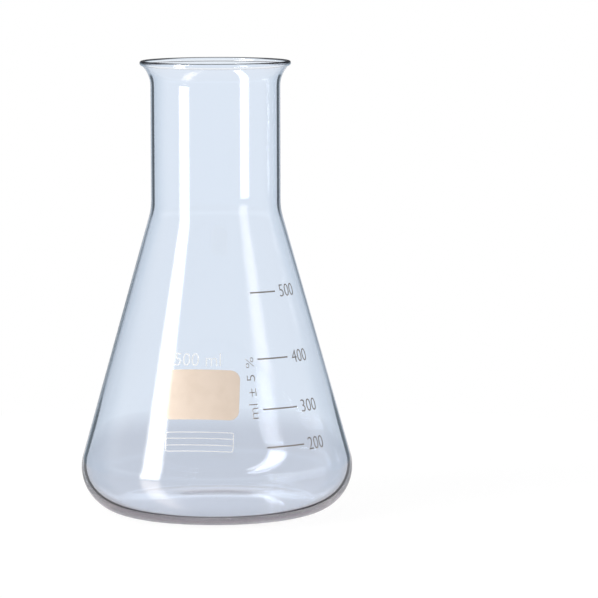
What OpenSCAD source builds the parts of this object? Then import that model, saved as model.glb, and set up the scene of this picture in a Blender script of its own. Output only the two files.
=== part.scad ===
// Wide-neck conical flask, blown in one piece, with a scale and a writing patch fired on.
// Millimetres. It stands on z = 0 with its axis on Z, and the writing patch faces -Y.

/* [Body] */
// Overall height, from the ring it stands on to the top of the rim
height = 174.5; // [170:0.5:185]
// Widest diameter, at the heel
body_d = 105; // [100:0.5:112]
// Height where the side of the cone, carried straight on, meets the side of the neck
shoulder_z = 117.5; // [112:0.5:124]
// Radius of the bend between neck and cone
shoulder_r = 20; // [10:1:30]
// Outer radius of the heel, the bend between cone and base
heel_r = 17.5; // [15:0.25:20]
// Inner radius of the heel
heel_inner_r = 15.25; // [14:0.25:17]
// Width of the flat ring that the flask stands on
ring_w = 3; // [1.5:0.25:5]
// Rise of the middle of the base above that ring
push_up = 1.5; // [0.5:0.1:3]

/* [Neck and rim] */
// Outer diameter of the neck
neck_d = 50; // [46:0.5:54]
// Height of the flare, from its start on the neck to the top of the rim
flare_h = 9.7; // [9.5:0.1:13]
// Radius of the bend where the flare starts
flare_r = 11; // [8:0.25:11.5]
// Angle between the side of the flare and the neck
flare_angle = 40; // [30:1:42]
// Diameter of the round bead along the rim
bead_d = 2; // [1.7:0.1:2.3]
// Radius of the hollows between the bead and the two sides of the flare
bead_fillet = 0.6; // [0.3:0.1:1.2]

/* [Wall] */
// Glass thickness of the neck and the flare
neck_wall = 1.25; // [1:0.05:1.8]
// Glass thickness of the cone
body_wall = 1.35; // [1:0.05:2]
// Glass thickness of the base
base_wall = 2.6; // [2:0.1:3.6]

/* [Scale] */
// Height of the mark for 200 ml
mark_200_z = 31; // [28:0.5:36]
// Height of the mark for 300 ml
mark_300_z = 45; // [40:0.5:50]
// Height of the mark for 400 ml
mark_400_z = 63.5; // [56:0.5:70]
// Height of the mark for 500 ml
mark_500_z = 88; // [80:0.5:96]
// Turn from the middle of the writing patch to the near end of each mark, in degrees
mark_start = 30.5; // [26:0.5:40]
// Turn from the near end to the far end of each mark, in degrees
mark_sweep = 19.3; // [10:0.1:30]
// Width of the printed line of a mark
mark_line = 0.55; // [0.3:0.05:1]

/* [Writing patch] */
// Width of the patch
patch_w = 29; // [20:0.5:34]
// Length of the patch along the side of the cone
patch_l = 19; // [14:0.5:24]
// Height of the middle of the patch
patch_z = 51; // [44:0.5:58]
// Corner radius of the patch
patch_r = 3.5; // [1:0.25:6]

/* [Table under the patch] */
// Width of the ruled table
table_w = 26; // [18:0.5:32]
// Length of the ruled table along the side of the cone
table_l = 7.6; // [6:0.1:10]
// Clear height between the table and the patch
table_gap = 4.4; // [2:0.1:8]
// Corner radius of the table
table_r = 1; // [0.5:0.1:2]
// Width of the printed lines of the table
table_line = 0.4; // [0.3:0.05:0.8]

/* [Enamel] */
// Thickness of the fired enamel on the glass
enamel_t = 0.1; // [0.05:0.01:0.2]
// Clear gap between the glass and the enamel, so that their solids never run into each other
enamel_gap = 0.05; // [0.03:0.01:0.08]

/* [Hidden] */
$fn = 240;

// Largest angle that one straight piece turns through, in the bends of the glass, along its rim
// and in a printed corner
bend_step = 5;
bead_step = 12;
corner_step = 15;
// Number of straight pieces across the rise of the base
rise_steps = 10;

neck_r = neck_d / 2;
bore_r = neck_r - neck_wall;
flare_z = height - flare_h;
bead_r = bead_d / 2;

// The outer side of the cone is the line from the shoulder that just touches the circle of the heel
heel_c = [body_d / 2 - heel_r, heel_r];
heel_lever = [heel_c.x - neck_r, shoulder_z - heel_c.y];
cone_angle = atan2(heel_lever.x, heel_lever.y) + asin(heel_r / norm(heel_lever));
heel_top = heel_c + heel_r * dir(cone_angle);
shoulder_c = [neck_r + shoulder_r, shoulder_z + shoulder_r * tan(cone_angle / 2)];
shoulder_foot = shoulder_c - shoulder_r * dir(cone_angle);

// The inner side of the cone lies one wall inside it
inner_shoulder_z = shoulder_z - (body_wall / cos(cone_angle) - neck_wall) / tan(cone_angle);
inner_bend_r = shoulder_r + neck_wall;
inner_shoulder_c = [bore_r + inner_bend_r, inner_shoulder_z + inner_bend_r * tan(cone_angle / 2)];
inner_heel_z = base_wall + heel_inner_r;
inner_heel_c = [
    bore_r + (inner_shoulder_z - inner_heel_z) * tan(cone_angle) - heel_inner_r / cos(cone_angle),
    inner_heel_z
];

// The bead sits on the middle of the wall and reaches up to the full height
flare_c = [neck_r + flare_r, flare_z];
flare_dir = [sin(flare_angle), cos(flare_angle)];
flare_in = [-flare_dir.y, flare_dir.x];
flare_end = flare_c + flare_r * flare_in;
half_wall = neck_wall / 2;
bead_run = (height - bead_r - flare_end.y - half_wall * flare_in.y) / flare_dir.y;
bead_c = flare_end + bead_run * flare_dir + half_wall * flare_in;
// A hollow on each side touches both the bead and the flare
fillet_side = bead_fillet + half_wall;
fillet_run = sqrt(pow(bead_r + bead_fillet, 2) - pow(fillet_side, 2));
fillet_foot = bead_c - fillet_run * flare_dir;
outer_fillet_c = fillet_foot - fillet_side * flare_in;
inner_fillet_c = fillet_foot + fillet_side * flare_in;
outer_fillet_angle = heading(outer_fillet_c - bead_c);
inner_fillet_angle = (heading(inner_fillet_c - bead_c) + 360) % 360;

function dir(angle) = [cos(angle), sin(angle)];
function heading(way) = atan2(way.y, way.x);

// Points of a bend about a centre, from one angle to another
function bend(centre, radius, from, to, step = bend_step) =
    let (pieces = max(2, ceil(abs(to - from) / step)))
    [for (i = [0:pieces]) centre + radius * dir(from + (to - from) * i / pieces)];

// Points of the gentle rise from the middle of the base, at rest height z, out to a radius
function rise(radius, z) =
    [for (i = [0:rise_steps])
        [radius * i / rise_steps, z + push_up * (1 + cos(180 * i / rise_steps)) / 2]];

function reversed(points) = [for (i = [len(points) - 1:-1:0]) points[i]];

// Drops the second of two points that fall together where one stretch meets the next
function joined(points) =
    [for (i = [0:len(points) - 1]) if (i == 0 || norm(points[i] - points[i - 1]) > 0.001) points[i]];

outer_side = joined(concat(
    rise(heel_c.x - ring_w, 0),
    bend(heel_c, heel_r, -90, cone_angle),
    bend(shoulder_c, shoulder_r, 180 + cone_angle, 180),
    bend(flare_c, flare_r, 180, 180 - flare_angle),
    bend(outer_fillet_c, bead_fillet, 180 - flare_angle, 180 + outer_fillet_angle, bead_step),
    bend(bead_c, bead_r, outer_fillet_angle, inner_fillet_angle, bead_step)
));
inner_side = joined(concat(
    rise(inner_heel_c.x, base_wall),
    bend(inner_heel_c, heel_inner_r, -90, cone_angle),
    bend(inner_shoulder_c, inner_bend_r, 180 + cone_angle, 180),
    bend(flare_c, flare_r + neck_wall, 180, 180 - flare_angle),
    bend(inner_fillet_c, bead_fillet, -flare_angle, inner_fillet_angle - 180, bead_step)
));

// Radius of the outer side of the cone at a height
function cone_r(z) = neck_r + (shoulder_z - z) * tan(cone_angle);

// How far out from the cone, measured level, the enamel starts and ends
enamel_in = enamel_gap / cos(cone_angle);
enamel_out = enamel_in + enamel_t / cos(cone_angle);

// Height of the middle of the table, below the patch by the clear gap
table_z = patch_z - (patch_l / 2 + table_l / 2) * cos(cone_angle) - table_gap;
table_lines = 2;

// Name and height of each mark
marks = [
    ["mark_200", mark_200_z],
    ["mark_300", mark_300_z],
    ["mark_400", mark_400_z],
    ["mark_500", mark_500_z]
];

// The blown glass: walls, base, flare and bead in one turn about the axis
module flask() {
    color([0.80, 0.88, 0.94, 0.45])
        rotate_extrude()
            polygon(joined(concat(outer_side, reversed(inner_side))));
}

// The skin of enamel that a print can lie in, all round the cone
module enamel_skin() {
    rotate_extrude()
        polygon([
            heel_top + [enamel_in, 0],
            heel_top + [enamel_out, 0],
            shoulder_foot + [enamel_out, 0],
            shoulder_foot + [enamel_in, 0]
        ]);
}

// Cuts a flat outline out of that skin, square to the side of the cone at the height z
module printed(z) {
    depth = body_d / 4;
    intersection() {
        enamel_skin();
        translate([0, -cone_r(z), z])
            rotate([90 - cone_angle, 0, 0])
                translate([0, 0, -depth / 2])
                    linear_extrude(depth)
                        children();
    }
}

function rounded(w, l, r) = concat(
    bend([w / 2 - r, l / 2 - r], r, 0, 90, corner_step),
    bend([r - w / 2, l / 2 - r], r, 90, 180, corner_step),
    bend([r - w / 2, r - l / 2], r, 180, 270, corner_step),
    bend([w / 2 - r, r - l / 2], r, 270, 360, corner_step)
);

// The pale patch that takes a pencil
module writing_patch() {
    color([0.90, 0.85, 0.78])
        printed(patch_z)
            polygon(rounded(patch_w, patch_l, patch_r));
}

// The thin frame with ruled lines under the patch
module ruled_table() {
    row = table_l / (table_lines + 1);
    color([0.93, 0.93, 0.92])
        printed(table_z) {
            difference() {
                polygon(rounded(table_w, table_l, table_r));
                polygon(rounded(table_w - 2 * table_line, table_l - 2 * table_line, table_r - table_line));
            }
            for (i = [1:table_lines])
                translate([0, i * row - table_l / 2])
                    square([table_w - table_line, table_line], center = true);
        }
}

// One printed line of the scale, at the height z
module mark(z) {
    half = mark_line / 2;
    color([0.45, 0.40, 0.38])
        rotate([0, 0, mark_start - 90])
            rotate_extrude(angle = mark_sweep)
                polygon([
                    [cone_r(z - half) + enamel_in, z - half],
                    [cone_r(z - half) + enamel_out, z - half],
                    [cone_r(z + half) + enamel_out, z + half],
                    [cone_r(z + half) + enamel_in, z + half]
                ]);
}

flask();
writing_patch();
ruled_table();
for (entry = marks)
    mark(entry[1]);
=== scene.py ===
# A 500 ml conical flask of clear glass, with its print, on a plain pale table.
# Metres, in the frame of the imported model: the axis is Z and the writing patch faces -Y.
from math import asin, atan2, cos, degrees, pi, radians, sin, tan

import bmesh
import bpy
from mathutils import Matrix, Vector


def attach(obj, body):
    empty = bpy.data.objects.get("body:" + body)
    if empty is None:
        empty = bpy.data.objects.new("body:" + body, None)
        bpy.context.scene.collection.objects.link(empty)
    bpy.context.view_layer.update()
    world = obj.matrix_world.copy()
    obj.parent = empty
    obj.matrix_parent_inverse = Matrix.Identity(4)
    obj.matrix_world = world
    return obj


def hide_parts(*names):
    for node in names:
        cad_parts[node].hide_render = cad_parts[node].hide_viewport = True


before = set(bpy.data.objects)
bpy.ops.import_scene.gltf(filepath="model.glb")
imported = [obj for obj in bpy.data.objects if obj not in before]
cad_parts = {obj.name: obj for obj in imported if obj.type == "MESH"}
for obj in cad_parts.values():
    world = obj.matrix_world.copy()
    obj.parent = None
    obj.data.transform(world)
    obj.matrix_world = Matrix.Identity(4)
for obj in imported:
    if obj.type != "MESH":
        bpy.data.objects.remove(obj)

bpy.context.scene.view_settings.view_transform = "Standard"
mm = 0.001
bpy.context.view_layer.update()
print("packed model loaded:", ", ".join(sorted(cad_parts)))


def newTree(data):
    data.use_nodes = True
    data.node_tree.nodes.clear()
    return data.node_tree


def addNode(tree, kind, inputs=(), **settings):
    node = tree.nodes.new(kind)
    for name, value in settings.items():
        setattr(node, name, value)
    for name, value in dict(inputs).items():
        plug(tree, value, node.inputs[name])
    return node


def plug(tree, value, socket):
    if isinstance(value, bpy.types.NodeSocket):
        tree.links.new(value, socket)
    else:
        socket.default_value = value


def maths(tree, operation, *values, clamp=False):
    node = tree.nodes.new("ShaderNodeMath")
    node.operation = operation
    node.use_clamp = clamp
    for socket, value in zip(node.inputs, values):
        plug(tree, value, socket)
    return node.outputs[0]


def mixColour(tree, factor, a, b):
    node = tree.nodes.new("ShaderNodeMix")
    node.data_type = "RGBA"
    plug(tree, factor, node.inputs[0])
    plug(tree, a, node.inputs[6])
    plug(tree, b, node.inputs[7])
    return node.outputs[2]


def smoothStep(tree, value, low, high, start=0.0, end=1.0):
    node = addNode(tree, "ShaderNodeMapRange", interpolation_type="SMOOTHSTEP")
    for name, entry in zip(("Value", "From Min", "From Max", "To Min", "To Max"),
                           (value, low, high, start, end)):
        plug(tree, entry, node.inputs[name])
    return node.outputs["Result"]


def after(tree, depth, count):
    # 1 once light has had that many of one kind of bounce, and 0 before
    return maths(tree, "GREATER_THAN", depth, count - 0.5)


def times(tree, first, second):
    return maths(tree, "MULTIPLY", first, second)


def mixShader(tree, factor, a, b):
    node = addNode(tree, "ShaderNodeMixShader", {0: factor})
    tree.links.new(a, node.inputs[1])
    tree.links.new(b, node.inputs[2])
    return node.outputs[0]


def finishMaterial(tree, surface):
    output = tree.nodes.new("ShaderNodeOutputMaterial")
    tree.links.new(surface, output.inputs["Surface"])


def emission(tree, colour, strength):
    return addNode(tree, "ShaderNodeEmission", {"Color": colour, "Strength": strength}).outputs[0]


def grey(level):
    return (level, level, level, 1.0)


def addObject(name, data):
    thing = bpy.data.objects.new(name, data)
    bpy.context.scene.collection.objects.link(thing)
    return thing


camera = {
    "distance": 1.4845,      # from the flask's axis, level
    "height": 0.24548,
    "turn": 8.0,             # degrees round from the front of the writing patch
    "pitch": 0.10952,        # radians down
    "yaw": 0.02153,          # radians to the right
    "roll": -0.00228,
    "lens": 232.55,          # millimetres
    "sensor": 36,
    "near": 0.05,            # nothing nearer or farther is drawn
    "far": 20,
}


def placeCamera():
    turn = Matrix.Rotation(radians(camera["turn"]), 3, "Z")
    pitch, yaw, roll = camera["pitch"], camera["yaw"], camera["roll"]
    forward = turn @ Vector((cos(pitch) * sin(yaw), cos(pitch) * cos(yaw), -sin(pitch)))
    level = turn @ Vector((cos(yaw), -sin(yaw), 0))
    down = turn @ Vector((-sin(pitch) * sin(yaw), -sin(pitch) * cos(yaw), -cos(pitch)))
    right = cos(roll) * level - sin(roll) * down
    down = sin(roll) * level + cos(roll) * down
    data = bpy.data.cameras.new("camera")
    data.lens = camera["lens"]
    data.sensor_width = camera["sensor"]
    data.clip_start = camera["near"]
    data.clip_end = camera["far"]
    view = addObject("camera", data)
    place = turn @ Vector((0, -camera["distance"], camera["height"]))
    axes = Matrix((right, -down, -forward)).transposed()
    view.matrix_world = Matrix.Translation(place) @ axes.to_4x4()
    bpy.context.scene.camera = view


placeCamera()
print("camera placed")


# Heights above the horizon are in degrees, each pair from the start to the end of a soft edge
studio = {
    "backdropTop": (0.97, 0.98, 0.99, 1.0),    # seen through the glass
    "backdropLow": (0.85, 0.89, 0.92, 1.0),
    "backdropRise": (-6, 10),
    "ceiling": (0.70, 0.71, 0.73, 1.0),
    "ceilingRise": (24, 40),
    "room": (0.82, 0.84, 0.88, 1.0),           # seen in reflections
    "glow": (1.22, 1.27, 1.32, 1.0),           # a bright strip low down in it
    "glowFrom": (1, 5),
    "glowTo": (8, 13),
    "sides": (0.44, 0.53, 0.62, 1.0),          # darker walls on both sides of its far end
    "sidesFrom": (0.1, 0.6),                   # cosine of the turn away from the far end
    "sidesTo": (0.955, 0.99),
    "sidesRise": (16, 30),
    "deepRoom": (0.60, 0.52, 0.54, 1.0),       # seen after three reflections
    "deep": 3,
    "fill": 0.46,                              # light that falls on the print
}


def degreeStep(tree, angle, edges, start=0.0, end=1.0):
    low, high = edges
    return smoothStep(tree, angle, radians(low), radians(high), start, end)


def lightStudio():
    world = bpy.data.worlds.new("studio")
    bpy.context.scene.world = world
    tree = newTree(world)
    way = tree.nodes.new("ShaderNodeTexCoord").outputs["Generated"]
    rise = addNode(tree, "ShaderNodeSeparateXYZ", {"Vector": way}).outputs["Z"]
    rise = maths(tree, "ARCSINE", rise)
    rays = tree.nodes.new("ShaderNodeLightPath").outputs

    # What the glass shows behind it: a pale blue backdrop that darkens towards the ceiling
    backdrop = mixColour(tree, degreeStep(tree, rise, studio["backdropRise"]),
                         studio["backdropLow"], studio["backdropTop"])
    backdrop = mixColour(tree, degreeStep(tree, rise, studio["ceilingRise"]),
                         backdrop, studio["ceiling"])

    # What it mirrors: the room
    glow = times(tree, degreeStep(tree, rise, studio["glowFrom"]),
                 degreeStep(tree, rise, studio["glowTo"], 1.0, 0.0))
    room = mixColour(tree, glow, studio["room"], studio["glow"])
    farEnd = radians(180 + camera["turn"])
    ahead = addNode(tree, "ShaderNodeVectorMath", {0: way, 1: (sin(farEnd), -cos(farEnd), 0)},
                    operation="DOT_PRODUCT").outputs["Value"]
    ahead = maths(tree, "DIVIDE", ahead, maths(tree, "COSINE", rise))
    sides = times(tree, smoothStep(tree, ahead, *studio["sidesFrom"]),
                  smoothStep(tree, ahead, *studio["sidesTo"], 1.0, 0.0))
    steep = maths(tree, "ABSOLUTE", rise)
    sides = times(tree, sides, degreeStep(tree, steep, studio["sidesRise"], 1.0, 0.0))
    room = mixColour(tree, sides, room, studio["sides"])
    room = mixColour(tree, after(tree, rays["Glossy Depth"], studio["deep"]),
                     room, studio["deepRoom"])

    # What the camera sees is white, and what falls on the print is plain
    glass = mixColour(tree, after(tree, rays["Glossy Depth"], 1), backdrop, room)
    lighting = after(tree, rays["Diffuse Depth"], 1)
    even = mixColour(tree, lighting, grey(1.0), grey(studio["fill"]))
    plain = maths(tree, "MAXIMUM", rays["Is Camera Ray"], lighting)
    shader = addNode(tree, "ShaderNodeBackground",
                     {"Color": mixColour(tree, plain, glass, even), "Strength": 1.0})
    output = tree.nodes.new("ShaderNodeOutputWorld")
    tree.links.new(shader.outputs[0], output.inputs["Surface"])


window = {
    "turn": -49.5,            # degrees round from the front of the writing patch
    "away": 0.85,
    "half": 0.173,            # half its width
    "softEdge": 0.24,         # share of the width over which each edge fades
    "low": 0.008,
    "high": 1.9,
    "level": 11.0,            # brightness of its reflections
    "watts": 9.2,             # light that it throws on the print
    "colour": (1.0, 0.97, 0.93, 1.0),
}


def hangWindow():
    # A tall bright pane that only mirrored light sees, and a lamp in its place for the rest
    tall = (window["high"] - window["low"]) / 2
    place = (Matrix.Rotation(radians(window["turn"]), 4, "Z")
             @ Matrix.Translation((0, -window["away"], window["low"] + tall)))
    mesh = bpy.data.meshes.new("window")
    bm = bmesh.new()
    bmesh.ops.create_grid(bm, x_segments=1, y_segments=1, size=1.0)
    bmesh.ops.transform(bm, verts=bm.verts, matrix=(
        place @ Matrix.Rotation(radians(90), 4, "X")
        @ Matrix.Diagonal((window["half"], tall, 1, 1))))
    bm.to_mesh(mesh)
    bm.free()
    pane = addObject("window", mesh)
    pane.visible_camera = False
    pane.visible_diffuse = False
    pane.visible_shadow = False

    material = bpy.data.materials.new("daylight")
    tree = newTree(material)
    rays = tree.nodes.new("ShaderNodeLightPath").outputs
    across = tree.nodes.new("ShaderNodeTexCoord").outputs["Generated"]
    across = addNode(tree, "ShaderNodeSeparateXYZ", {"Vector": across}).outputs["X"]
    edge = window["softEdge"]
    shown = times(tree, smoothStep(tree, across, 0.0, edge),
                  smoothStep(tree, across, 1 - edge, 1.0, 1.0, 0.0))
    shown = times(tree, shown, after(tree, rays["Glossy Depth"], 1))
    clear = tree.nodes.new("ShaderNodeBsdfTransparent").outputs[0]
    bright = emission(tree, window["colour"], window["level"])
    finishMaterial(tree, mixShader(tree, shown, clear, bright))
    material.cycles.emission_sampling = "NONE"
    mesh.materials.append(material)

    data = bpy.data.lights.new("windowLight", "AREA")
    data.shape = "RECTANGLE"
    data.size, data.size_y = 2 * window["half"], 2 * tall
    data.energy = window["watts"]
    lamp = addObject("windowLight", data)
    lamp.matrix_world = (place @ Matrix.Rotation(radians(-90), 4, "X")
                         @ Matrix.Rotation(radians(180), 4, "Y"))
    lamp.visible_glossy = False
    lamp.visible_transmission = False


table = {
    "radius": 0.288,
    "sides": 128,
    "drop": 0.0002,                            # below the ring that the flask stands on
    "shadow": 0.1,                             # share of it that takes light and shadow
    "own": 1.05,                               # its own light, for the white of the backdrop
    "lift": 1.9,                               # the same, for what stands on it
    "glassView": (0.62, 0.64, 0.68, 1.0),      # the table top as the glass shows it
    "mirrorView": (0.66, 0.66, 0.69, 1.0),     # the same after a reflection in the glass
    "fade": (0.20, 0.32),                      # radii between which it becomes the backdrop
    "gloss": 0.38,                             # share of the window's image in it
    "blur": 0.19,
    "warm": (1.0, 0.92, 0.86, 1.0),
}


def layTable():
    mesh = bpy.data.meshes.new("tableTop")
    bm = bmesh.new()
    bmesh.ops.create_circle(bm, cap_ends=True, segments=table["sides"], radius=table["radius"],
                            matrix=Matrix.Translation((0, 0, -table["drop"])))
    bmesh.ops.recalc_face_normals(bm, faces=bm.faces)
    if bm.faces[:][0].normal.z < 0:
        bmesh.ops.reverse_faces(bm, faces=bm.faces)
    bm.to_mesh(mesh)
    bm.free()
    top = addObject("tableTop", mesh)

    material = bpy.data.materials.new("paleTable")
    tree = newTree(material)
    rays = tree.nodes.new("ShaderNodeLightPath").outputs
    lighting = after(tree, rays["Diffuse Depth"], 1)
    strength = smoothStep(tree, lighting, 0.0, 1.0, table["own"], table["lift"])
    lit = addNode(tree, "ShaderNodeBsdfDiffuse", {"Color": grey(1.0)}).outputs[0]
    seen = mixShader(tree, table["shadow"], emission(tree, grey(1.0), strength), lit)

    # The glass shows a darker top, with the window's soft image in it once light is mirrored
    turned = after(tree, rays["Glossy Depth"], 1)
    place = tree.nodes.new("ShaderNodeTexCoord").outputs["Object"]
    out = addNode(tree, "ShaderNodeVectorMath", {0: place}, operation="LENGTH").outputs["Value"]
    tone = mixColour(tree, turned, table["glassView"], table["mirrorView"])
    tone = mixColour(tree, smoothStep(tree, out, *table["fade"]), tone, studio["backdropLow"])
    sheen = addNode(tree, "ShaderNodeBsdfGlossy",
                    {"Color": table["warm"], "Roughness": table["blur"]}).outputs[0]
    behind = mixShader(tree, times(tree, turned, table["gloss"]), emission(tree, tone, 1.0), sheen)
    glassy = maths(tree, "MAXIMUM", rays["Is Transmission Ray"], rays["Is Glossy Ray"])
    glassy = maths(tree, "SUBTRACT", glassy, lighting, clamp=True)
    finishMaterial(tree, mixShader(tree, glassy, seen, behind))
    mesh.materials.append(material)


lightStudio()
hangWindow()
layTable()
print("studio lit")


# The sizes of part.scad, in millimetres
flask = {
    "height": 174.5, "bodyRadius": 52.5, "shoulderZ": 117.5, "shoulderBend": 20.0,
    "heelBend": 17.5, "heelInside": 15.25, "ring": 3.0, "pushUp": 1.5,
    "neckRadius": 25.0, "flareHeight": 9.7, "flareBend": 11.0, "flareAngle": 40.0,
    "beadRadius": 1.0, "beadFillet": 0.6,
    "neckWall": 1.25, "bodyWall": 1.35, "baseWall": 2.6,
    "bendStep": 2.0,          # degrees for each piece of a bend
    "beadStep": 6.0,
    "riseSteps": 16,          # pieces across the rise of the base
    "turnSteps": 240,
    "merge": 0.001,           # points closer than this are one
}

heelCentre = Vector((flask["bodyRadius"] - flask["heelBend"], flask["heelBend"]))
lever = Vector((heelCentre.x - flask["neckRadius"], flask["shoulderZ"] - heelCentre.y))
coneAngle = atan2(lever.x, lever.y) + asin(flask["heelBend"] / lever.length)


def coneRadius(z):
    return flask["neckRadius"] + (flask["shoulderZ"] - z) * tan(coneAngle)


def bend(centre, radius, start, end, step):
    pieces = max(2, round(abs(end - start) / radians(step)))
    angles = (start + (end - start) * i / pieces for i in range(pieces + 1))
    return [centre + radius * Vector((cos(a), sin(a))) for a in angles]


def rise(radius, z):
    steps = flask["riseSteps"]
    return [Vector((radius * i / steps, z + flask["pushUp"] * (1 + cos(pi * i / steps)) / 2))
            for i in range(steps + 1)]


def flaskSides():
    neck, wall, step = flask["neckRadius"], flask["neckWall"], flask["bendStep"]
    bore = neck - wall
    shoulder = flask["shoulderBend"]
    shoulderCentre = Vector((neck + shoulder, flask["shoulderZ"] + shoulder * tan(coneAngle / 2)))

    extraWall = flask["bodyWall"] / cos(coneAngle) - wall
    insideShoulderZ = flask["shoulderZ"] - extraWall / tan(coneAngle)
    insideBend = shoulder + wall
    insideCentre = Vector((bore + insideBend, insideShoulderZ + insideBend * tan(coneAngle / 2)))
    heelZ = flask["baseWall"] + flask["heelInside"]
    insideRun = (insideShoulderZ - heelZ) * tan(coneAngle)
    insideHeel = Vector((bore + insideRun - flask["heelInside"] / cos(coneAngle), heelZ))

    angle = radians(flask["flareAngle"])
    along = Vector((sin(angle), cos(angle)))
    inward = Vector((-along.y, along.x))
    flareCentre = Vector((neck + flask["flareBend"], flask["height"] - flask["flareHeight"]))
    flareEnd = flareCentre + flask["flareBend"] * inward
    bead, fillet = flask["beadRadius"], flask["beadFillet"]
    run = (flask["height"] - bead - flareEnd.y - wall / 2 * inward.y) / along.y
    beadCentre = flareEnd + run * along + wall / 2 * inward
    side = fillet + wall / 2
    back = ((bead + fillet) ** 2 - side ** 2) ** 0.5
    outerFillet = beadCentre - back * along - side * inward
    innerFillet = beadCentre - back * along + side * inward
    toOuter = atan2(outerFillet.y - beadCentre.y, outerFillet.x - beadCentre.x)
    toInner = atan2(innerFillet.y - beadCentre.y, innerFillet.x - beadCentre.x) % (2 * pi)

    outside = (
        rise(heelCentre.x - flask["ring"], 0)
        + bend(heelCentre, flask["heelBend"], -pi / 2, coneAngle, step)
        + bend(shoulderCentre, shoulder, pi + coneAngle, pi, step)
        + bend(flareCentre, flask["flareBend"], pi, pi - angle, 2 * step)
        + bend(outerFillet, fillet, pi - angle, toOuter + pi, 2 * flask["beadStep"])
        + bend(beadCentre, bead, toOuter, toInner, flask["beadStep"])
    )
    inside = (
        rise(insideHeel.x, flask["baseWall"])
        + bend(insideHeel, flask["heelInside"], -pi / 2, coneAngle, step)
        + bend(insideCentre, insideBend, pi + coneAngle, pi, step)
        + bend(flareCentre, flask["flareBend"] + wall, pi, pi - angle, 2 * step)
        + bend(innerFillet, fillet, -angle, toInner - pi, 2 * flask["beadStep"])
    )
    return outside, inside


def spinGlass():
    outside, inside = flaskSides()
    merge = flask["merge"] * mm
    bm = bmesh.new()
    side = bm.verts.layers.int.new("inside")
    chain = []
    for points, mark in ((outside, 0), (inside[::-1], 1)):
        for point in points:
            place = Vector((point.x, 0, point.y)) * mm
            if chain and (chain[-1].co - place).length < merge:
                continue
            vert = bm.verts.new(place)
            vert[side] = mark
            chain.append(vert)
    edges = [bm.edges.new(pair) for pair in zip(chain, chain[1:])]
    bmesh.ops.spin(bm, geom=chain + edges, cent=(0, 0, 0), axis=(0, 0, 1), dvec=(0, 0, 0),
                   angle=2 * pi, steps=flask["turnSteps"], use_merge=True,
                   use_normal_flip=False, use_duplicate=False)
    bmesh.ops.remove_doubles(bm, verts=bm.verts, dist=merge)
    bmesh.ops.recalc_face_normals(bm, faces=bm.faces)
    for face in bm.faces:
        face.smooth = True
        face.material_index = int(all(vert[side] for vert in face.verts))
    mesh = bpy.data.meshes.new("blownGlass")
    bm.to_mesh(mesh)
    bm.free()
    return addObject("blownGlass", mesh)


# Heights are in metres and facings from 0, straight on, to 1, edge on; each pair is a soft edge
glassLook = {
    "tint": (0.92, 0.95, 0.998, 1.0),
    "ior": 1.473,
    "wave": 0.006,                   # how much the blown surface waves
    "waveScale": 22.0,
    "waveDepth": 0.002,
    # painted shade: the near-black colour of the dark lines painted inside the glass's outline and
    # along the rim's top
    "edge": (0.01, 0.01, 0.015, 1.0),
    "darkFrom": (0.265, 0.271),      # facing at which the painted dark line inside the edge starts
    "darkTo": (0.272, 0.278),
    "darkReach": 0.010,              # how much further out it goes on the neck
    "reachHeights": (0.01, 0.13),
    "darkWider": 0.007,              # how much further in it starts on the neck and the heel
    "coneSlimmer": 0.004,            # and how much later on the cone
    "coneShare": 0.65,
    "coneLow": (0.03, 0.06),         # heights where heel and cone, and cone and neck, meet
    "coneHigh": (0.11, 0.122),
    "darkEnd": (0.0042, 0.0062),     # heights where it fades out under the heel
    "darkTop": (0.1690, 0.1705),     # and below the bead of the rim
    "paintedFootGlow": (1.0, 0.92, 0.93, 1.0),  # painted glow: a pale diffuse colour in the low heel, standing in for the table's light
    "footEnd": (0.004, 0.014),
    "footShare": 0.9,
    "paintedRimLine": (0.1738, 0.1741),       # painted shade: a dark line along the top of the rim
    "crownFacing": (0.25, 0.45),
    "crownShare": 0.9,
}


def firstWall(tree, rays):
    # 1 for light that is still in the first wall it came to
    return maths(tree, "LESS_THAN", rays["Transmission Depth"], 1.5)


# Share of the painted shade: a dark line just inside the glass's outline, set by facing and height
def paintedEdgeShade(tree, rays, height, facing):
    cone = times(tree, smoothStep(tree, height, *glassLook["coneLow"]),
                 smoothStep(tree, height, *glassLook["coneHigh"], 1.0, 0.0))
    wider = smoothStep(tree, cone, 0.0, 1.0, glassLook["darkWider"], -glassLook["coneSlimmer"])
    reach = smoothStep(tree, height, *glassLook["reachHeights"], 0.0, glassLook["darkReach"])
    inner = maths(tree, "ADD", facing, wider)
    outer = maths(tree, "SUBTRACT", facing, reach)
    share = times(tree, smoothStep(tree, inner, *glassLook["darkFrom"]),
                  smoothStep(tree, outer, *glassLook["darkTo"], 1.0, 0.0))
    share = times(tree, share, smoothStep(tree, cone, 0.0, 1.0, 1.0, glassLook["coneShare"]))
    share = times(tree, share, smoothStep(tree, height, *glassLook["darkEnd"]))
    share = times(tree, share, smoothStep(tree, height, *glassLook["darkTop"], 1.0, 0.0))
    mirrored = after(tree, rays["Glossy Depth"], 1)
    straight = maths(tree, "SUBTRACT", firstWall(tree, rays), mirrored, clamp=True)
    return times(tree, share, straight)


def paintedHeelGlow(tree, rays, height):
    # Share of the painted glow in the low heel, for light still in the first wall; it also takes
    # up what the heel has mirrored to and fro
    share = smoothStep(tree, height, *glassLook["footEnd"], glassLook["footShare"], 0.0)
    mirrored = after(tree, rays["Glossy Depth"], 2)
    return times(tree, share, maths(tree, "MAXIMUM", firstWall(tree, rays), mirrored))


# Share of the painted shade along the top of the rim, set by height and facing
def paintedRimShade(tree, height, facing):
    return times(tree, smoothStep(tree, height, *glassLook["paintedRimLine"]),
                 smoothStep(tree, facing, *glassLook["crownFacing"], 0.0, glassLook["crownShare"]))


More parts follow.
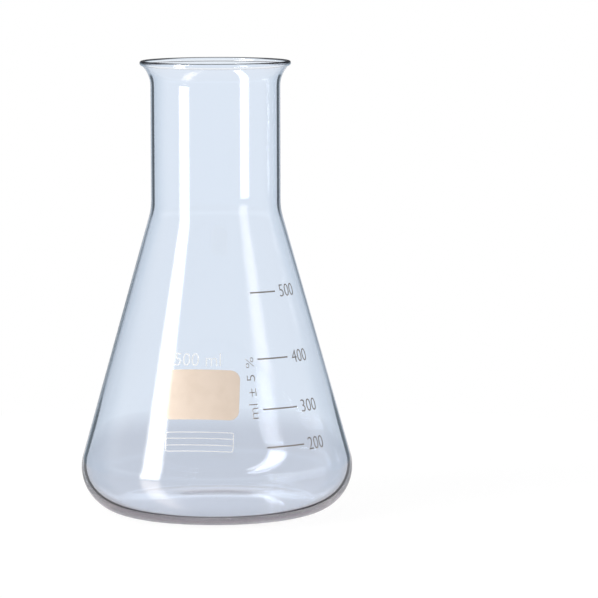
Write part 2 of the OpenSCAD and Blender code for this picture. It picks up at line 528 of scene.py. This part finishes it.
def glassMaterial(name, inside):
    material = bpy.data.materials.new(name)
    tree = newTree(material)
    place = tree.nodes.new("ShaderNodeTexCoord").outputs["Object"]
    wave = addNode(tree, "ShaderNodeTexNoise",
                   {"Vector": place, "Scale": glassLook["waveScale"], "Detail": 1.0})
    bump = addNode(tree, "ShaderNodeBump", {
        "Height": wave.outputs["Fac"], "Strength": glassLook["wave"],
        "Distance": glassLook["waveDepth"]})
    clear = addNode(tree, "ShaderNodeBsdfPrincipled", {
        "Base Color": glassLook["tint"], "Roughness": 0.0, "IOR": glassLook["ior"],
        "Transmission Weight": 1.0, "Normal": bump.outputs[0]})

    rays = tree.nodes.new("ShaderNodeLightPath").outputs
    within = tree.nodes.new("ShaderNodeNewGeometry").outputs["Backfacing"]
    height = addNode(tree, "ShaderNodeSeparateXYZ", {"Vector": place}).outputs["Z"]
    facing = addNode(tree, "ShaderNodeLayerWeight", {"Blend": 0.5}).outputs["Facing"]
    if inside:
        share = times(tree, within, paintedEdgeShade(tree, rays, height, facing))
        tone = glassLook["edge"]
    else:
        share = times(tree, within, paintedHeelGlow(tree, rays, height))
        paintedRimLine = maths(tree, "SUBTRACT", paintedRimShade(tree, height, facing), within, clamp=True)
        share = maths(tree, "MAXIMUM", share, paintedRimLine)
        aboveFoot = maths(tree, "GREATER_THAN", height, glassLook["footEnd"][1])
        tone = mixColour(tree, aboveFoot, glassLook["paintedFootGlow"], glassLook["edge"])
    # A diffuse colour painted over the clear glass: painted shade at the edges and rim, painted
    # glow in the low heel
    shade = addNode(tree, "ShaderNodeBsdfDiffuse", {"Color": tone}).outputs[0]
    finishMaterial(tree, mixShader(tree, share, clear.outputs[0], shade))
    return material


def makeFlask():
    glass = spinGlass()
    glass.data.materials.append(glassMaterial("clearGlass", False))
    glass.data.materials.append(glassMaterial("clearGlassInside", True))
    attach(glass, "root")
    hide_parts("flask")
    print("glass:", len(glass.data.polygons), "faces")


makeFlask()


# Each enamel clouds softly from its first shade to its second
enamelLook = {
    "cream": {"shades": ((0.725, 0.600, 0.495, 1), (0.690, 0.566, 0.460, 1)),
              "clouds": 160.0, "roughness": 0.4, "seeThrough": 0.0},
    "white": {"shades": ((0.88, 0.88, 0.86, 1), (0.80, 0.80, 0.79, 1)),
              "clouds": 300.0, "roughness": 0.3, "seeThrough": 0.63},
    "brown": {"shades": ((0.19, 0.175, 0.17, 1), (0.25, 0.23, 0.22, 1)),
              "clouds": 400.0, "roughness": 0.35, "seeThrough": 0.0},
    "cloudEdge": (0.35, 0.7),
    "grain": 4000.0,
    "grainBump": 0.15,
    "grainDepth": 0.00005,
    "ior": 1.5,
    "coatRoughness": 0.04,
    "paintedBehindGlow": 0.46,       # painted glow of the side on the glass, standing in for the light that the flask lets through
    "behindEdge": (-0.01, 0.0),
}


def enamelMaterial(kind):
    look = enamelLook[kind]
    material = bpy.data.materials.new(kind + "Enamel")
    tree = newTree(material)
    sources = tree.nodes.new("ShaderNodeTexCoord").outputs
    place = sources["Object"]
    cloud = addNode(tree, "ShaderNodeTexNoise",
                    {"Vector": place, "Scale": look["clouds"], "Detail": 6.0})
    spread = smoothStep(tree, cloud.outputs["Fac"], *enamelLook["cloudEdge"])
    tone = mixColour(tree, spread, *look["shades"])
    grain = addNode(tree, "ShaderNodeTexNoise",
                    {"Vector": place, "Scale": enamelLook["grain"], "Detail": 2.0})
    bump = addNode(tree, "ShaderNodeBump", {
        "Height": grain.outputs["Fac"], "Strength": enamelLook["grainBump"],
        "Distance": enamelLook["grainDepth"]})
    # Painted glow: the side that lies on the glass emits a little of its own colour, standing in
    # for light through the flask
    outward = addNode(tree, "ShaderNodeVectorMath", {0: place, 1: sources["Normal"]},
                      operation="DOT_PRODUCT").outputs["Value"]
    glow = smoothStep(tree, outward, *enamelLook["behindEdge"], enamelLook["paintedBehindGlow"], 0.0)
    shader = addNode(tree, "ShaderNodeBsdfPrincipled", {
        "Base Color": tone, "Roughness": look["roughness"], "IOR": enamelLook["ior"],
        "Coat Weight": 1.0, "Coat Roughness": enamelLook["coatRoughness"],
        "Emission Color": tone, "Emission Strength": glow,
        "Normal": bump.outputs[0], "Alpha": 1.0 - look["seeThrough"]})
    finishMaterial(tree, shader.outputs[0])
    return material


enamels = {kind: enamelMaterial(kind) for kind in ("cream", "white", "brown")}

printed = {
    "writing_patch": "cream", "ruled_table": "white",
    "mark_200": "brown", "mark_300": "brown", "mark_400": "brown", "mark_500": "brown",
}
for name, enamel in printed.items():
    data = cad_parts[name].data
    data.materials.clear()
    data.materials.append(enamels[enamel])


# Millimetres, with each turn in degrees from the middle of the patch; thin is taken off the
# strokes before a word gets its size
lettering = {
    "lift": 0.05,             # clear of the glass, as the enamel is
    "thick": 0.08,
    "curveSteps": 4,
    "merge": 0.001,
    "numbers": {"width": 8.5, "height": 4.8, "thin": -0.008, "gap": 2.3, "marksEnd": 49.8},
    "heights": {"200": 31.0, "300": 45.0, "400": 63.5, "500": 88.0},
    "capacity": {"text": "500 ml", "enamel": "white", "width": 17.8, "height": 5.0,
                 "turn": -2.3, "z": 63.7},
    "unitNote": {"text": "ml ± 5 %", "enamel": "brown", "width": 23.5, "height": 3.3,
                 "turn": 25.8, "z": 53.0, "upward": True, "thin": -0.014},
}


def wrapOnCone(bm, turn, height, upward):
    # x and y become the way round the cone and the way up its side; upward turns the line of
    # text so that it climbs the side
    start = coneRadius(height)
    for vert in bm.verts:
        u, v, lift = vert.co
        if upward:
            u, v = -v, u
        rise = height + v * cos(coneAngle)
        out = start - v * sin(coneAngle) + (lift + lettering["lift"]) * cos(coneAngle)
        angle = radians(turn) + u / start
        vert.co = Vector((out * sin(angle), -out * cos(angle),
                          rise + (lift + lettering["lift"]) * sin(coneAngle))) * mm


def letter(name, text, enamel, width, height, turn, z, upward=False, thin=0.0):
    curve = bpy.data.curves.new(name, "FONT")
    curve.body = text
    curve.resolution_u = lettering["curveSteps"]
    curve.offset = thin
    source = addObject(name + "Curve", curve)
    bpy.context.view_layer.update()
    shaped = source.evaluated_get(bpy.context.evaluated_depsgraph_get())
    mesh = bpy.data.meshes.new_from_object(shaped)
    bpy.data.objects.remove(source)
    bm = bmesh.new()
    bm.from_mesh(mesh)
    low = Vector([min(vert.co[i] for vert in bm.verts) for i in range(2)])
    high = Vector([max(vert.co[i] for vert in bm.verts) for i in range(2)])
    size = high - low
    middle = (high + low) / 2
    for vert in bm.verts:
        vert.co.x = (vert.co.x - middle.x) * width / size.x
        vert.co.y = (vert.co.y - middle.y) * height / size.y
    bmesh.ops.remove_doubles(bm, verts=bm.verts, dist=lettering["merge"])
    lifted = bmesh.ops.extrude_face_region(bm, geom=bm.faces[:])["geom"]
    raised = [item for item in lifted if isinstance(item, bmesh.types.BMVert)]
    bmesh.ops.translate(bm, verts=raised, vec=(0, 0, lettering["thick"]))
    bmesh.ops.recalc_face_normals(bm, faces=bm.faces)
    wrapOnCone(bm, turn, z, upward)
    bm.to_mesh(mesh)
    bm.free()
    mesh.name = name
    mesh.materials.clear()
    mesh.materials.append(enamels[enamel])
    piece = addObject(name, mesh)
    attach(piece, "root")


def printNumbers():
    numbers = lettering["numbers"]
    for text, z in lettering["heights"].items():
        beside = (numbers["gap"] + numbers["width"] / 2) / coneRadius(z)
        letter("number" + text, text, "brown", numbers["width"], numbers["height"],
               numbers["marksEnd"] + degrees(beside), z, thin=numbers["thin"])


printNumbers()
for name in ("capacity", "unitNote"):
    letter(name, **lettering[name])
print("print laid on")
